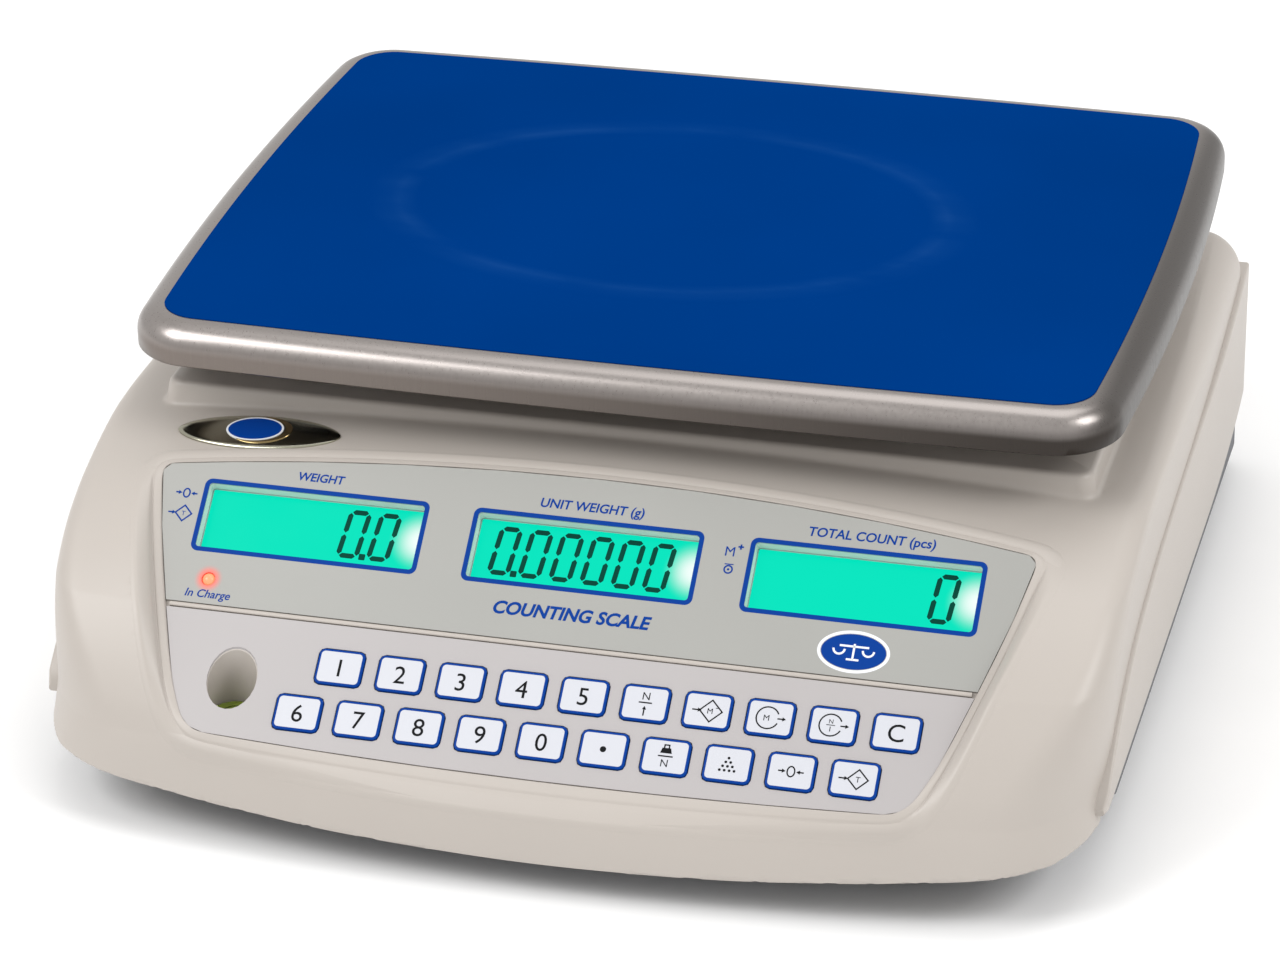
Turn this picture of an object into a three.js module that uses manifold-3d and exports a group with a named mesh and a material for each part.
// Counting scale: moulded housing, stainless pan on a single-point load cell, sloped panel with three
// displays and twenty keys. Millimetres, +Z up, front towards -Y, origin under the middle at table height.
import * as THREE from 'three';
import { mergeVertices } from 'three/addons/utils/BufferGeometryUtils.js';
import Module from 'manifold-3d';

const wasm = await Module();
wasm.setup();

// ---- driving dimensions ------------------------------------------------------------------------
const GAP = 0.3;                       // left between pieces that touch
const WALL = 3;                        // moulded wall

const PAN = {
  halfX: 147.4, bowX: 3.2, halfY: 112.6, bowY: 2.4, y: 46, shift: -1, top: 120,
  skirt: 12, sheet: 1.2, corner: 17, sidePieces: 6,
};
const FILM = { inset: 8, corner: 9, thick: 0.3 };

const PLINTH = { halfX: 139.6, front: -53, rear: 145, top: 95, taper: 2.6, corner: 9 };
const DECK = 89.5;                     // height of the deck on the centre line
const CROWN = 5.9 / 129 ** 2;          // how fast the deck falls away sideways
const DECK_RISE = { top: 92.2, peakY: -35, frontFall: 0.00133, rearFall: 0.00012, rearCrown: 3.9 / 139 ** 2 };
const LIP_BOTTOM = 11;                 // lower edge of the front lip on the centre line
const LIP_RISE = 4 / 100 ** 2;         // how fast that edge rises sideways

const PANEL = { y: -81.1, z: 85.2, slope: THREE.MathUtils.degToRad(39.17) };
const FOIL = { thick: 0.5, ribV: -45.5, ribWidth: 1.4 };
const PANEL_FLOOR = { top: -0.8, thick: 3 };

const DISPLAY = { width: 65.4, height: 20.1, v: -17, depth: 4.1, thick: 4.5, us: [-81.5, 0, 81.8] };
const KEY = { width: 13.7, height: 10.8, corner: 1.6, pitch: 17.97, proud: 0.5, root: -1.1, side: 0.3 };
const KEY_ROWS = [
  { firstU: -63.1, v: -59.4 },
  { firstU: -72.4, v: -74.4 },
];
const KEYS_PER_ROW = 10;
const LAMP = { u: -107.9, v: -36.8, radius: 1.8 };
const WELL = { x: -94, y: -132.3, radius: 7.15, wall: 1.8, floor: 23 };
const VIAL = { radius: 6.8, height: 9 };

const WING = { inner: 149, outer: 156.8, bottom: 24 };
const TRAY = { halfX: 154.5, front: -114.5, rear: 155, bottom: 8, top: 23.7 };
const NOSE = { halfX: 145, front: -153.5, bow: 0.00065, corner: 24 };

const CELL = { halfX: 65, width: 30, bottom: 44, top: 66, boltX: [32, 56], bore: 3.3 };
const SUPPORT = { bottom: 101, top: 107, armX: 105, armY: 75, armWidth: 24 };
const PAD = { radius: 8, top: 118.5 };
const FEET = { x: 118, ys: [-100, 125], pad: 14, stud: 4, padTop: 7.7, studTop: 22 };
const SCREWS = { x: 132, ys: [-75, 138], radius: 1.6, head: 3, boss: 5 };
const BATTERY = { x: [-141, -71], y: [-5, 96], z: [11.3, 58.3] };
const HATCH = { x: [-146, -66], y: [-10, 101] };
const BOARD = { x: [0, 115], y: [-70, 0], z: 30, thick: 1.6 };
const REAR = { wall: 156, z: 45 };
const INLET = { x: 95, width: 27, height: 19.5, depth: 26 };
const SWITCH = { x: 58, width: 13, height: 19, depth: 17 };
const SERIAL = { x: 12, width: 17, height: 9, depth: 11 };

// Rings of the moulded shell, from the lip up to the deck: height on the centre line, half width, front on
// the centre line, rear, how much the front falls back sideways, and the radius of the front corners.
const SHELL = [
  { level: LIP_BOTTOM, halfX: 151, front: -160, rear: 156, bow: 0.00065, corner: 28 },
  { level: 25, halfX: 151.8, front: -157.6, rear: 156, bow: 0.00065, corner: 30 },
  { level: 39.4, halfX: 152.4, front: -152.5, rear: 156, bow: 0.0006, corner: 31 },
  { level: 55, halfX: 153.6, front: -140.8, rear: 156, bow: 0.0004, corner: 24 },
  { level: 70, halfX: 154.6, front: -122, rear: 156, bow: 0.0003, corner: 16 },
  { level: 81.4, halfX: 153.6, front: -106.6, rear: 154.5, bow: 0.0003, corner: 14 },
  { level: 86, halfX: 150.6, front: -94.5, rear: 151.5, bow: 0.0003, corner: 14 },
  { level: 88.8, halfX: 145, front: -82, rear: 147.5, bow: 0.0003, corner: 14 },
  { level: DECK, halfX: 139, front: -74, rear: 144, bow: 0.0003, corner: 20 },
];
const REAR_CORNER = 14;

// ---- small helpers -----------------------------------------------------------------------------
const bandBetween = (value, low, high) => Math.min(1, Math.max(0, (value - low) / (high - low)));

/** Turns a closed geometry into a solid for joining and cutting. */
function solidOf(geometry) {
  const bare = geometry.clone();
  bare.deleteAttribute('normal');
  bare.deleteAttribute('uv');
  const merged = mergeVertices(bare, 1e-4);
  return new wasm.Manifold(new wasm.Mesh({
    numProp: 3,
    vertProperties: new Float32Array(merged.attributes.position.array),
    triVerts: new Uint32Array(merged.index.array),
  }));
}

/** Turns a solid back into a geometry. */
function geometryOf(solid) {
  const mesh = solid.getMesh();
  const geometry = new THREE.BufferGeometry();
  geometry.setAttribute('position', new THREE.BufferAttribute(new Float32Array(mesh.vertProperties), 3));
  geometry.setIndex(new THREE.BufferAttribute(new Uint32Array(mesh.triVerts), 1));
  geometry.computeVertexNormals();
  return geometry;
}

const join = (first, ...others) => others.reduce((sum, next) => sum.add(next), first);
const cut = (first, ...others) => others.reduce((rest, next) => rest.subtract(next), first);

/** A block between two corners. */
function block([x0, y0, z0], [x1, y1, z1]) {
  const geometry = new THREE.BoxGeometry(x1 - x0, y1 - y0, z1 - z0);
  return geometry.translate((x0 + x1) / 2, (y0 + y1) / 2, (z0 + z1) / 2);
}

/** An upright rod between two heights. */
function rod(x, y, radius, z0, z1, sides = 16) {
  const geometry = new THREE.CylinderGeometry(radius, radius, z1 - z0, sides);
  return geometry.rotateX(Math.PI / 2).translate(x, y, (z0 + z1) / 2);
}

/** A turned piece about Z, from a profile of [radius, height] points that starts and ends on the axis. */
function turned(profile, x, y, sides = 16) {
  const points = profile.map(([radius, height]) => new THREE.Vector2(radius, height));
  return new THREE.LatheGeometry(points, sides).rotateX(Math.PI / 2).translate(x, y, 0);
}

/** A shape pushed up from z0 to z1. */
function plate(points, z0, z1) {
  const shape = new THREE.Shape(points.map(([x, y]) => new THREE.Vector2(x, y)));
  return new THREE.ExtrudeGeometry(shape, { depth: z1 - z0, bevelEnabled: false, steps: 1 }).translate(0, 0, z0);
}

/** The points of a rectangle with round corners, anticlockwise. */
function roundRect(halfX, halfY, radius, x = 0, y = 0, steps = 3) {
  const points = [];
  for (let corner = 0; corner < 4; corner += 1) {
    const signX = corner === 0 || corner === 3 ? 1 : -1;
    const signY = corner < 2 ? 1 : -1;
    for (let step = 0; step <= steps; step += 1) {
      const angle = (corner + step / steps) * Math.PI / 2;
      points.push([
        x + signX * (halfX - radius) + radius * Math.cos(angle),
        y + signY * (halfY - radius) + radius * Math.sin(angle),
      ]);
    }
  }
  return points;
}

/** An outline moved outwards by a distance, corner by corner. */
function grown(points, distance) {
  return points.map((point, i) => {
    const before = points[(i + points.length - 1) % points.length];
    const after = points[(i + 1) % points.length];
    const a = new THREE.Vector2(point[1] - before[1], before[0] - point[0]).normalize();
    const b = new THREE.Vector2(after[1] - point[1], point[0] - after[0]).normalize();
    const bisector = a.clone().add(b);
    const reach = distance * 2 / bisector.lengthSq();
    return [point[0] + bisector.x * reach, point[1] + bisector.y * reach];
  });
}

/** A solid through closed rings of [x, y, z] points, with both ends closed. */
function loft(rings) {
  const count = rings[0].length;
  const positions = rings.flat(2);
  const index = [];
  for (let r = 0; r + 1 < rings.length; r += 1) {
    for (let i = 0; i < count; i += 1) {
      const a = r * count + i;
      const b = r * count + (i + 1) % count;
      index.push(a, b, b + count, a, b + count, a + count);
    }
  }
  [[0, false], [rings.length - 1, true]].forEach(([r, top]) => {
    const middle = [0, 1, 2].map((k) => rings[r].reduce((sum, point) => sum + point[k], 0) / count);
    const centre = positions.length / 3;
    positions.push(...middle);
    for (let i = 0; i < count; i += 1) {
      const a = r * count + i;
      const b = r * count + (i + 1) % count;
      index.push(...(top ? [a, b, centre] : [b, a, centre]));
    }
  });
  const geometry = new THREE.BufferGeometry();
  geometry.setAttribute('position', new THREE.Float32BufferAttribute(positions, 3));
  geometry.setIndex(index);
  geometry.computeVertexNormals();
  return geometry;
}

// ---- the moulded shell's surface ---------------------------------------------------------------
/** Height of the deck, which falls gently to the front, the back and the sides. */
function deckHeight(x, y) {
  const away = y - DECK_RISE.peakY;
  const fall = (away < 0 ? DECK_RISE.frontFall : DECK_RISE.rearFall) * away * away;
  const crown = CROWN + (DECK_RISE.rearCrown - CROWN) * bandBetween(y, -84, -50);
  return DECK_RISE.top - fall - crown * x * x;
}

/** One ring of the shell, pulled in by a distance and moved in height. */
function shellRing(ring, inset, drop) {
  const halfX = ring.halfX - inset;
  const front = ring.front + inset;
  const rear = ring.rear - inset;
  const radius = ring.corner;
  const points = [];
  const frontY = (x) => front + ring.bow * x * x;
  for (let step = 0; step < 12; step += 1) {
    const x = -(halfX - radius) + 2 * (halfX - radius) * step / 12;
    points.push([x, frontY(x)]);
  }
  const cornerY = frontY(halfX - radius) + radius;
  for (let step = 0; step <= 5; step += 1) {
    const angle = -Math.PI / 2 + step / 5 * Math.PI / 2;
    points.push([halfX - radius + radius * Math.cos(angle), cornerY + radius * Math.sin(angle)]);
  }
  for (let step = 1; step < 5; step += 1) {
    points.push([halfX, cornerY + (rear - REAR_CORNER - cornerY) * step / 5]);
  }
  for (let step = 0; step <= 3; step += 1) {
    const angle = step / 3 * Math.PI / 2;
    points.push([
      halfX - REAR_CORNER + REAR_CORNER * Math.cos(angle),
      rear - REAR_CORNER + REAR_CORNER * Math.sin(angle),
    ]);
  }
  points.push([halfX * 0.45, rear], [0, rear]);
  const right = points.slice(12);
  const left = right.slice(0, -1).reverse().map(([x, y]) => [-x, y]).slice(0, -1);
  const crownShare = bandBetween(ring.level, 30, 85);
  const riseShare = 1 - bandBetween(ring.level, LIP_BOTTOM, 39.4);
  const liftShare = bandBetween(ring.level, 81.4, DECK);
  return [...points, ...left].map(([x, y]) => {
    const level = ring.level - CROWN * x * x * crownShare + LIP_RISE * x * x * riseShare;
    const lift = deckHeight(x, y) - (DECK - CROWN * x * x);
    return [x, y, level + lift * liftShare - drop];
  });
}

/** The shell's body, pulled in by a distance. A pulled-in body reaches below the table to open the shell. */
function shellBody(inset) {
  const rings = SHELL.map((ring) => shellRing(ring, inset, inset));
  const deck = SHELL.at(-1);
  [0.62, 0.28].forEach((share) => {
    const middle = (deck.front + deck.rear) / 2;
    const halfY = (deck.rear - deck.front) / 2 * share;
    const small = {
      ...deck, halfX: deck.halfX * share, front: middle - halfY, rear: middle + halfY, corner: deck.corner * share,
    };
    rings.push(shellRing({ ...small, bow: 0 }, 0, inset));
  });
  if (inset > 0) {
    rings.unshift(rings[0].map(([x, y]) => [x, y, -5]));
  }
  return solidOf(loft(rings));
}

const panelMatrix = new THREE.Matrix4()
  .makeRotationX(PANEL.slope)
  .setPosition(0, PANEL.y, PANEL.z);
const onPanel = (geometry) => solidOf(geometry.applyMatrix4(panelMatrix));

/** Outline of the recessed panel in panel coordinates, anticlockwise from the left end of its lower edge. */
function panelOutline() {
  const lower = [0, 33, 66, 99].map((u) => [u, -85.8 + 2.4 * (u / 99) ** 2]);
  const side = [[103.6, -82], [107.5, -78], [111, -70], [113.6, -62], [118.3, -47], [125.5, -22], [129.2, -4.5]];
  const upper = [127, 108, 84, 58, 29, 0].map((u) => [u, 7 - 9.5 * (u / 129.5) ** 2]);
  const right = [...lower, ...side, ...upper];
  const left = right.slice(1, -1).reverse().map(([u, v]) => [-u, v]);
  return [...right, ...left];
}

const keyPlaces = KEY_ROWS.flatMap(({ firstU, v }) => (
  Array.from({ length: KEYS_PER_ROW }, (_, i) => ({ u: firstU + KEY.pitch * i, v }))
));

// ---- housing -----------------------------------------------------------------------------------
/** The wing along one side: a flat blade standing proud of the dome. */
function wing(side) {
  const edge = [
    [-119, WING.bottom], [TRAY.rear, WING.bottom], [TRAY.rear, 70.5], [8, 65], [-34, 62],
    [-69, 56.5], [-91, 48.4], [-108, 37.3], [-119, 26],
  ];
  const blade = plate(edge, WING.inner, WING.outer);
  blade.applyMatrix4(new THREE.Matrix4().makeBasis(
    new THREE.Vector3(0, 1, 0), new THREE.Vector3(0, 0, 1), new THREE.Vector3(1, 0, 0),
  ));
  const solid = solidOf(blade);
  return side > 0 ? solid : solid.mirror([1, 0, 0]);
}

function plinthBody(inset) {
  const middle = (PLINTH.front + PLINTH.rear) / 2;
  const halfY = (PLINTH.rear - PLINTH.front) / 2;
  const ring = (shrink, z) => roundRect(
    PLINTH.halfX - inset - shrink, halfY - inset - shrink, PLINTH.corner - shrink / 2, 0, middle, 4,
  ).map(([x, y]) => [x, y, z - inset]);
  return solidOf(loft([
    ring(0, 70), ring(0, 83), ring(PLINTH.taper - 1.2, PLINTH.top - 1.6), ring(PLINTH.taper + 0.8, PLINTH.top),
  ]));
}

function upperHousing() {
  const outer = join(shellBody(0), plinthBody(0));
  const inner = join(shellBody(WALL), plinthBody(WALL));
  const outline = panelOutline();
  const floorTop = PANEL_FLOOR.top;
  const floorBottom = floorTop - PANEL_FLOOR.thick;
  const backing = outer.intersect(onPanel(plate(grown(outline, WALL), floorBottom, 30)));
  const recess = onPanel(plate(grown(outline, GAP), floorTop, 40));
  const rib = onPanel(block(
    [-118, FOIL.ribV - FOIL.ribWidth / 2, floorTop - 0.5], [118, FOIL.ribV + FOIL.ribWidth / 2, 0.5],
  ));
  const windows = DISPLAY.us.map((u) => onPanel(block(
    [u - DISPLAY.width / 2, DISPLAY.v - DISPLAY.height / 2, floorBottom - 1],
    [u + DISPLAY.width / 2, DISPLAY.v + DISPLAY.height / 2, 1],
  )));
  const pockets = KEY_ROWS.map(({ firstU, v }) => onPanel(block(
    [firstU - KEY.width / 2 - 1, v - KEY.height / 2 - 1, -2],
    [firstU + KEY.pitch * (KEYS_PER_ROW - 1) + KEY.width / 2 + 1, v + KEY.height / 2 + 1, 0],
  )));
  const lampHole = onPanel(rod(LAMP.u, LAMP.v, LAMP.radius + GAP, floorBottom - 1, 1, 12));
  const bosses = SCREWS.ys.flatMap((y) => [-1, 1].map((side) => (
    outer.intersect(solidOf(rod(side * SCREWS.x, y, SCREWS.boss, 13, DECK, 12)))
  )));
  const bossHoles = SCREWS.ys.flatMap((y) => [-1, 1].map((side) => (
    solidOf(rod(side * SCREWS.x, y, SCREWS.radius + GAP, 5, 32, 10))
  )));
  const wellTube = solidOf(rod(WELL.x, WELL.y, WELL.radius + WELL.wall, WELL.floor - WELL.wall, 50, 24));
  const wellHole = solidOf(rod(WELL.x, WELL.y, WELL.radius, WELL.floor, 80, 24));
  const wellBody = outer.intersect(wellTube);
  const hubHole = solidOf(plate(roundRect(26, 23, 6, 44, PAN.y), 80, 99));
  const lowerSides = solidOf(block([-170, TRAY.front - 0.5, -10], [170, 170, WING.bottom]));
  const rearHoles = [[INLET, 0.3], [SWITCH, 0.3], [SERIAL, 1]].map(([part, room]) => solidOf(block(
    [part.x - part.width / 2 - room, REAR.wall - 8, REAR.z - part.height / 2 - room],
    [part.x + part.width / 2 + room, REAR.wall + 8, REAR.z + part.height / 2 + room],
  )));
  const shell = cut(outer, inner);
  const full = join(shell, backing, wing(1), wing(-1), wellBody, ...bosses);
  const clipped = full.subtract(recess).add(rib.intersect(outer));
  return geometryOf(cut(
    clipped, ...windows, ...pockets, lampHole, wellHole, hubHole, lowerSides, ...rearHoles, ...bossHoles,
  ));
}

function trayOutline(inset) {
  const slab = plate(roundRect(
    TRAY.halfX - inset, (TRAY.rear - TRAY.front) / 2 - inset, 10 - inset, 0, (TRAY.rear + TRAY.front) / 2, 4,
  ), inset > 0 ? TRAY.bottom + WALL : TRAY.bottom, inset > 0 ? 60 : TRAY.top);
  const ring = {
    level: 0, halfX: NOSE.halfX, front: NOSE.front, rear: 60, bow: NOSE.bow, corner: NOSE.corner,
  };
  const nose = plate(shellRing(ring, inset, 0).map(([x, y]) => [x, y]),
    inset > 0 ? TRAY.bottom + WALL : TRAY.bottom, inset > 0 ? 60 : TRAY.top - 5);
  return join(solidOf(slab), solidOf(nose));
}

function lowerHousing() {
  const tray = cut(trayOutline(0), trayOutline(WALL));
  const cellPad = solidOf(block([-66, 28, TRAY.bottom], [-22, 64, 16]));
  const feetBosses = FEET.ys.flatMap((y) => [-1, 1].map((side) => (
    solidOf(rod(side * FEET.x, y, FEET.stud + 4, TRAY.bottom, 26, 14))
  )));
  const feetHoles = FEET.ys.flatMap((y) => [-1, 1].map((side) => (
    solidOf(rod(side * FEET.x, y, FEET.stud + GAP, 0, 30, 14))
  )));
  const screwHoles = SCREWS.ys.flatMap((y) => [-1, 1].map((side) => (
    join(
      solidOf(rod(side * SCREWS.x, y, SCREWS.radius + GAP, 0, 20, 10)),
      solidOf(rod(side * SCREWS.x, y, SCREWS.head + GAP, 0, TRAY.bottom + 1.6, 12)),
    )
  )));
  const boltHoles = CELL.boltX.map((x) => join(
    solidOf(rod(-x, PAN.y, CELL.bore, 0, 20, 12)),
    solidOf(rod(-x, PAN.y, 5.8, 0, TRAY.bottom + 5, 14)),
  ));
  const posts = [5, 110].flatMap((x) => [-65, -5].map((y) => (
    solidOf(rod(x, y, 3, TRAY.bottom + 1, BOARD.z - GAP, 10))
  )));
  const hatch = solidOf(block([HATCH.x[0], HATCH.y[0], 0], [HATCH.x[1], HATCH.y[1], 20]));
  return geometryOf(cut(
    join(tray, cellPad, ...feetBosses, ...posts), ...feetHoles, ...screwHoles, ...boltHoles, hatch,
  ));
}

function batteryCover() {
  const plateSolid = solidOf(block(
    [HATCH.x[0] + GAP, HATCH.y[0] + GAP, TRAY.bottom + 0.2], [HATCH.x[1] - GAP, HATCH.y[1] - GAP, 11],
  ));
  const grip = solidOf(block([HATCH.x[0] + 34, HATCH.y[1] - 12, 0], [HATCH.x[0] + 46, HATCH.y[1] - 7, 9.6]));
  return geometryOf(cut(plateSolid, grip));
}

// ---- pan and weighing mechanism ----------------------------------------------------------------
/** Outline of the pan pulled in by a distance. Its four sides bulge a little, as pressed sheet does. */
function panOutline(inset, corner) {
  const corners = roundRect(PAN.halfX - inset, PAN.halfY - inset, corner, 0, 0, 5);
  const points = corners.flatMap((point, i) => {
    const next = corners[(i + 1) % corners.length];
    const pieces = Math.hypot(next[0] - point[0], next[1] - point[1]) > 100 ? PAN.sidePieces : 1;
    return Array.from({ length: pieces }, (_, k) => [
      point[0] + (next[0] - point[0]) * k / pieces, point[1] + (next[1] - point[1]) * k / pieces,
    ]);
  });
  return points.map(([x, y]) => [
    x * (1 + PAN.bowX / PAN.halfX * (1 - (y / PAN.halfY) ** 2)),
    PAN.y + PAN.shift + y * (1 + PAN.bowY / PAN.halfY * (1 - (x / PAN.halfX) ** 2)),
  ]);
}

function panRing(inset, z) {
  return panOutline(inset, Math.max(PAN.corner - inset, 3)).map(([x, y]) => [x, y, z]);
}

function weighingPan() {
  const bottom = PAN.top - PAN.skirt;
  const round = 5.5;
  const outer = [[0, bottom], [0, PAN.top - round]];
  [1, 2, 3].forEach((step) => {
    const angle = step / 3 * Math.PI / 2;
    outer.push([round * (1 - Math.cos(angle)), PAN.top - round * (1 - Math.sin(angle))]);
  });
  const innerRound = round - PAN.sheet;
  const inner = [];
  [3, 2, 1].forEach((step) => {
    const angle = step / 3 * Math.PI / 2;
    inner.push([
      PAN.sheet + innerRound * (1 - Math.cos(angle)), PAN.top - PAN.sheet - innerRound * (1 - Math.sin(angle)),
    ]);
  });
  inner.push([PAN.sheet, PAN.top - round], [PAN.sheet, bottom]);
  const rings = [...inner, ...outer].map(([inset, z]) => panRing(inset, z));
  return loft(rings);
}

function panFilm() {
  return plate(panOutline(FILM.inset, FILM.corner), PAN.top + GAP, PAN.top + GAP + FILM.thick);
}

function panSupport() {
  const length = 2 * Math.hypot(SUPPORT.armX, SUPPORT.armY);
  const arms = [1, -1].map((side) => {
    const bar = plate(roundRect(length / 2 + 6, SUPPORT.armWidth / 2, 6, 0, 0, 2), SUPPORT.bottom, SUPPORT.top);
    bar.rotateZ(side * Math.atan2(SUPPORT.armY, SUPPORT.armX)).translate(0, PAN.y, 0);
    return solidOf(bar);
  });
  const plateSolid = solidOf(plate(roundRect(66, 30, 6, 0, PAN.y), SUPPORT.bottom, SUPPORT.top));
  const hub = solidOf(block([24, PAN.y - 15, CELL.top + GAP], [64, PAN.y + 15, SUPPORT.bottom + 1]));
  const holes = CELL.boltX.map((x) => join(
    solidOf(rod(x, PAN.y, CELL.bore, 50, 120, 12)),
    solidOf(rod(x, PAN.y, 5.8, SUPPORT.top - 4.5, 120, 14)),
  ));
  return geometryOf(cut(join(arms[0], arms[1], plateSolid, hub), ...holes));
}

function loadCell() {
  const shape = new THREE.Shape([
    new THREE.Vector2(-CELL.halfX, CELL.bottom), new THREE.Vector2(CELL.halfX, CELL.bottom),
    new THREE.Vector2(CELL.halfX, CELL.top), new THREE.Vector2(-CELL.halfX, CELL.top),
  ]);
  const flexure = new THREE.Path();
  const middle = (CELL.bottom + CELL.top) / 2;
  flexure.absarc(-11, middle, 8, Math.PI * 0.12, Math.PI * 1.88, false);
  flexure.absarc(11, middle, 8, Math.PI * 1.12, Math.PI * 2.88, false);
  shape.holes.push(flexure);
  const bar = new THREE.ExtrudeGeometry(shape, { depth: CELL.width, bevelEnabled: false, curveSegments: 8 });
  bar.rotateX(Math.PI / 2).translate(0, PAN.y + CELL.width / 2, 0);
  const holes = [...CELL.boltX, ...CELL.boltX.map((x) => -x)].map((x) => (
    solidOf(rod(x, PAN.y, CELL.bore, 30, 80, 12))
  ));
  return geometryOf(cut(solidOf(bar), ...holes));
}

function loadCellSpacer() {
  const body = solidOf(block([-64, PAN.y - 15, 16 + GAP], [-24, PAN.y + 15, CELL.bottom - GAP]));
  return geometryOf(cut(body, ...CELL.boltX.map((x) => solidOf(rod(-x, PAN.y, CELL.bore, 0, 60, 12)))));
}

/** A bolt with its head at one end; the shank runs from the head to the tip. */
function bolt(x, headFar, headNear, tip) {
  const profile = [[0, headFar], [5.4, headFar], [5.4, headNear], [3, headNear], [3, tip], [0, tip]];
  return turned(headFar > tip ? profile.slice().reverse() : profile, x, PAN.y, 12);
}

// ---- boards, displays and small electrical pieces ----------------------------------------------
function mainBoard() {
  const { x, y, z, thick } = BOARD;
  const top = z + thick;
  const parts = [
    block([x[0], y[0], z], [x[1], y[1], top]),
    block([12, -60, top - 0.2], [34, -38, top + 3]),
    block([48, -56, top - 0.2], [60, -30, top + 4]),
    block([70, -62, top - 0.2], [104, -36, top + 12]),
    block([20, -24, top - 0.2], [52, -16, top + 8]),
    block([66, -22, top - 0.2], [96, -12, top + 6]),
  ];
  return geometryOf(join(...parts.map(solidOf)));
}

function displayModule() {
  const halfX = DISPLAY.width / 2 + 2.5;
  const halfV = DISPLAY.height / 2 + 2.5;
  return block([-halfX, -halfV, -DISPLAY.depth - DISPLAY.thick], [halfX, halfV, -DISPLAY.depth]);
}

function displayBoard() {
  const top = -DISPLAY.depth - DISPLAY.thick - GAP;
  const parts = [
    block([-122, -33, top - 1.6], [122, -2, top]),
    block([-60, -26, top - 5], [-20, -12, top - 1.4]),
    block([30, -24, top - 4], [56, -12, top - 1.4]),
  ];
  return geometryOf(join(...parts.map(solidOf)));
}

function foil(upper) {
  const sheet = solidOf(plate(panelOutline(), -FOIL.thick, 0));
  const edge = FOIL.ribWidth / 2 + GAP;
  const half = upper
    ? block([-140, FOIL.ribV + edge, -5], [140, 20, 5])
    : block([-140, -100, -5], [140, FOIL.ribV - edge, 5]);
  const part = sheet.intersect(solidOf(half));
  if (upper) {
    const windows = DISPLAY.us.map((u) => solidOf(plate(
      roundRect(DISPLAY.width / 2, DISPLAY.height / 2, 1, u, DISPLAY.v, 2), -2, 2,
    )));
    return geometryOf(cut(part, ...windows, solidOf(rod(LAMP.u, LAMP.v, LAMP.radius + GAP, -2, 2, 12))));
  }
  const holes = keyPlaces.map(({ u, v }) => solidOf(plate(
    roundRect(KEY.width / 2 + KEY.side, KEY.height / 2 + KEY.side, KEY.corner + KEY.side, u, v, 2), -2, 2,
  )));
  const well = new THREE.CylinderGeometry(WELL.radius + GAP, WELL.radius + GAP, 200, 24).rotateX(Math.PI / 2);
  well.translate(WELL.x, WELL.y, 50).applyMatrix4(panelMatrix.clone().invert());
  return geometryOf(cut(part, ...holes, solidOf(well)));
}

const keyCap = () => plate(roundRect(KEY.width / 2, KEY.height / 2, KEY.corner, 0, 0, 2), KEY.root, KEY.proud);

function chargeLamp() {
  const r = LAMP.radius;
  return turned([[0, -7], [r, -7], [r, -0.6], [r * 0.8, 0.2], [r * 0.4, 0.6], [0, 0.7]], 0, 0, 12);
}

function levelVial() {
  const bottom = WELL.floor + GAP;
  const top = bottom + VIAL.height;
  const r = VIAL.radius;
  return turned([[0, bottom], [r, bottom], [r, top - 1], [r - 1, top], [0, top]], WELL.x, WELL.y, 20);
}

function badge() {
  const points = Array.from({ length: 28 }, (_, i) => {
    const angle = i / 28 * Math.PI * 2;
    return [24 * Math.cos(angle), 7 * Math.sin(angle)];
  });
  return plate(points, 0, 1.2);
}

function battery() {
  const { x, y, z } = BATTERY;
  const body = block([x[0], y[0], z[0]], [x[1], y[1], z[1] - 5]);
  const lid = block([x[0] + 1, y[0] + 1, z[1] - 5.5], [x[1] - 1, y[1] - 1, z[1]]);
  const tabs = [12, 48].map((offset) => (
    block([x[0] + offset, y[0] + 6, z[1] - 1], [x[0] + offset + 6, y[0] + 7, z[1] + 6])
  ));
  return geometryOf(join(...[body, lid, ...tabs].map(solidOf)));
}

/** Mains inlet: a box with a flange, open to the rear, with three flat pins inside. */
function powerInlet() {
  const wall = REAR.wall;
  const { x, width, height, depth } = INLET;
  const body = solidOf(block([x - width / 2, wall - depth, REAR.z - height / 2], [x + width / 2, wall + 1, REAR.z + height / 2]));
  const flange = solidOf(block([x - 16, wall + GAP, REAR.z - 12], [x + 16, wall + 2.5, REAR.z + 12]));
  const mouth = solidOf(plate(
    [[-12, -8], [12, -8], [12, 3], [7, 8], [-7, 8], [-12, 3]], 0, 16,
  ).rotateX(Math.PI / 2).translate(x, wall + 3.5, REAR.z));
  const pins = [[-7, -2], [0, 2], [7, -2]].map(([px, pz]) => solidOf(
    block([x + px - 1, wall - 14, REAR.z + pz - 2], [x + px + 1, wall - 3, REAR.z + pz + 2]),
  ));
  return geometryOf(join(cut(join(body, flange), mouth), ...pins));
}

function switchFrame() {
  const wall = REAR.wall;
  const { x, width, height, depth } = SWITCH;
  const body = solidOf(block([x - width / 2, wall - depth, REAR.z - height / 2], [x + width / 2, wall + 1, REAR.z + height / 2]));
  const flange = solidOf(block([x - 8, wall + GAP, REAR.z - 11], [x + 8, wall + 2, REAR.z + 11]));
  const mouth = solidOf(block([x - 5.2, wall - 11, REAR.z - 8.2], [x + 5.2, wall + 3, REAR.z + 8.2]));
  return geometryOf(cut(join(body, flange), mouth));
}

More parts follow.
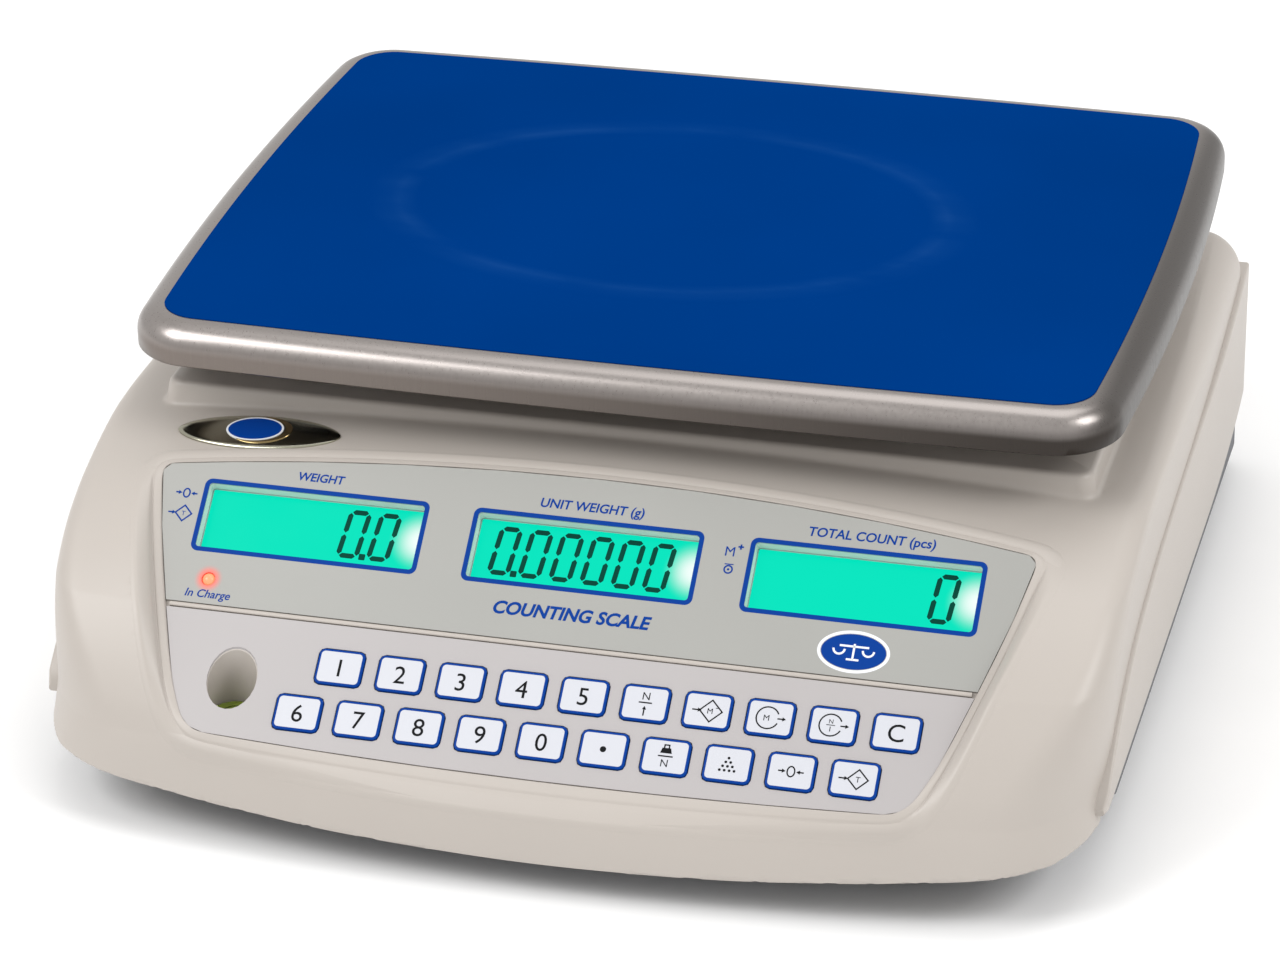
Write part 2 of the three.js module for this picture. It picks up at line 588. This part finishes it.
/** Rocker seen from the side: two faces that meet at the pivot. */
function powerRocker() {
  const halfX = 4.8;
  const shape = [[-7, -3.5], [7, -3.5], [7.4, 1.6], [0, 0.3], [-7.4, 1.6]];
  const profile = plate(shape, -halfX, halfX);
  profile.applyMatrix4(new THREE.Matrix4().makeBasis(
    new THREE.Vector3(0, 0, 1), new THREE.Vector3(0, 1, 0), new THREE.Vector3(-1, 0, 0),
  ));
  return profile;
}

function serialSocket() {
  const wall = REAR.wall;
  const { x, width, height, depth } = SERIAL;
  const shell = (grow, y0, y1) => solidOf(plate([
    [-width / 2 + 1.5 - grow, -height / 2 - grow], [width / 2 - 1.5 + grow, -height / 2 - grow],
    [width / 2 + grow, height / 2 + grow], [-width / 2 - grow, height / 2 + grow],
  ], 0, y1 - y0).rotateX(Math.PI / 2).translate(x, y1, REAR.z));
  const flange = solidOf(block([x - 15.5, wall + GAP, REAR.z - 6.3], [x + 15.5, wall + 1.2, REAR.z + 6.3]));
  return geometryOf(join(shell(0, wall - depth, wall + 1), flange, shell(-0.6, wall, wall + 3)));
}

function foot(x, y) {
  const { pad, stud, padTop, studTop } = FEET;
  return turned([
    [0, 0], [pad - 1.5, 0], [pad, 1.5], [pad, padTop - 1], [pad - 1, padTop], [stud, padTop],
    [stud, studTop - 1], [stud - 1, studTop], [0, studTop],
  ], x, y, 18);
}

function housingScrew(x, y) {
  const head = TRAY.bottom + 1.3;
  return turned([
    [0, head - 2.2], [SCREWS.head, head - 2.2 + 0.6], [SCREWS.head, head], [SCREWS.radius, head],
    [SCREWS.radius, 28], [0, 29],
  ], x, y, 10);
}

// ---- scene graph -------------------------------------------------------------------------------
const finish = (color, roughness, metalness = 0) => new THREE.MeshStandardMaterial({ color, roughness, metalness });
const FINISHES = {
  cover: finish(0xcdc6c0, 0.42),
  base: finish(0x55565a, 0.6),
  steel: finish(0xb4b0aa, 0.32, 1),
  filmBlue: finish(0x003c84, 0.35),
  displayFoil: finish(0xbec0be, 0.38),
  keyFoil: finish(0xd0cfd0, 0.38),
  keyWhite: finish(0xebebf0, 0.35),
  lcd: finish(0x00e1b9, 0.2),
  lamp: finish(0xff8c6e, 0.25),
  vial: finish(0xa9c46a, 0.1),
  chrome: finish(0xd9d9d9, 0.1, 1),
  aluminium: finish(0xb9bcc0, 0.4, 1),
  zinc: finish(0x9a9ca0, 0.35, 1),
  rubber: finish(0x1c1c1e, 0.85),
  board: finish(0x1f6b3a, 0.5),
  black: finish(0x161618, 0.45),
};

const scale = new THREE.Group();

function put(parent, name, geometry, material, placing = {}) {
  const mesh = new THREE.Mesh(geometry, material);
  mesh.name = name;
  mesh.position.set(...(placing.position ?? [0, 0, 0]));
  mesh.rotation.set(...(placing.rotation ?? [0, 0, 0]));
  parent.add(mesh);
}

put(scale, 'upper_housing', upperHousing(), FINISHES.cover);
put(scale, 'lower_housing', lowerHousing(), FINISHES.base);
put(scale, 'battery_cover', batteryCover(), FINISHES.base);
put(scale, 'battery', battery(), FINISHES.black);
put(scale, 'main_board', mainBoard(), FINISHES.board);
put(scale, 'level_vial', levelVial(), FINISHES.vial);
put(scale, 'power_inlet', powerInlet(), FINISHES.black);
put(scale, 'serial_socket', serialSocket(), FINISHES.zinc);
put(scale, 'switch_frame', switchFrame(), FINISHES.black);
put(scale, 'power_rocker', powerRocker(), FINISHES.black, {
  position: [SWITCH.x, REAR.wall, REAR.z],
  rotation: [THREE.MathUtils.degToRad(-7), 0, 0],
});

const badgeX = -105;
const badgeY = -70.5;
put(scale, 'badge', badge(), FINISHES.chrome, {
  position: [badgeX, badgeY, deckHeight(badgeX, badgeY) + 1],
  rotation: [0.155, Math.atan(2 * CROWN * badgeX), 0],
});

put(scale, 'load_cell', loadCell(), FINISHES.aluminium);
put(scale, 'load_cell_spacer', loadCellSpacer(), FINISHES.aluminium);
put(scale, 'pan_support', panSupport(), FINISHES.aluminium);
CELL.boltX.forEach((x, i) => {
  put(scale, `cell_bolt_fixed_${i + 1}`, bolt(-x, 8.6, TRAY.bottom + 5 - GAP, 58), FINISHES.zinc);
  put(scale, `cell_bolt_free_${i + 1}`, bolt(x, SUPPORT.top - GAP, SUPPORT.top - 4.5 + GAP, 52), FINISHES.zinc);
});

put(scale, 'weighing_pan', weighingPan(), FINISHES.steel);
put(scale, 'pan_film', panFilm(), FINISHES.filmBlue);

[[-1, -1], [1, -1], [1, 1], [-1, 1]].forEach(([sideX, sideY], i) => {
  const padX = sideX * SUPPORT.armX;
  const padY = PAN.y + sideY * SUPPORT.armY;
  put(scale, `support_pad_${i + 1}`, rod(padX, padY, PAD.radius, SUPPORT.top + GAP, PAD.top, 14), FINISHES.rubber);
  const footY = FEET.ys[sideY < 0 ? 0 : 1];
  put(scale, `foot_${i + 1}`, foot(sideX * FEET.x, footY), FINISHES.rubber);
  const screwY = SCREWS.ys[sideY < 0 ? 0 : 1];
  put(scale, `housing_screw_${i + 1}`, housingScrew(sideX * SCREWS.x, screwY), FINISHES.zinc);
});

// Everything below lies on the sloped panel, in its own axes: across, up the slope, and out of it.
const panel = new THREE.Group();
panel.position.set(0, PANEL.y, PANEL.z);
panel.rotation.x = PANEL.slope;
scale.add(panel);

put(panel, 'display_overlay', foil(true), FINISHES.displayFoil);
put(panel, 'keypad_overlay', foil(false), FINISHES.keyFoil);
put(panel, 'display_board', displayBoard(), FINISHES.board);
put(panel, 'charge_led', chargeLamp(), FINISHES.lamp, { position: [LAMP.u, LAMP.v, 0] });
['lcd_weight', 'lcd_unit_weight', 'lcd_total_count'].forEach((name, i) => {
  put(panel, name, displayModule(), FINISHES.lcd, { position: [DISPLAY.us[i], DISPLAY.v, 0] });
});

const KEY_NAMES = [
  '1', '2', '3', '4', '5', 'sample', 'memory_add', 'memory_recall', 'sample_recall', 'clear',
  '6', '7', '8', '9', '0', 'point', 'unit_weight', 'count', 'zero', 'tare',
];
keyPlaces.forEach(({ u, v }, i) => {
  put(panel, `key_${KEY_NAMES[i]}`, keyCap(), FINISHES.keyWhite, { position: [u, v, 0] });
});

export default scale;
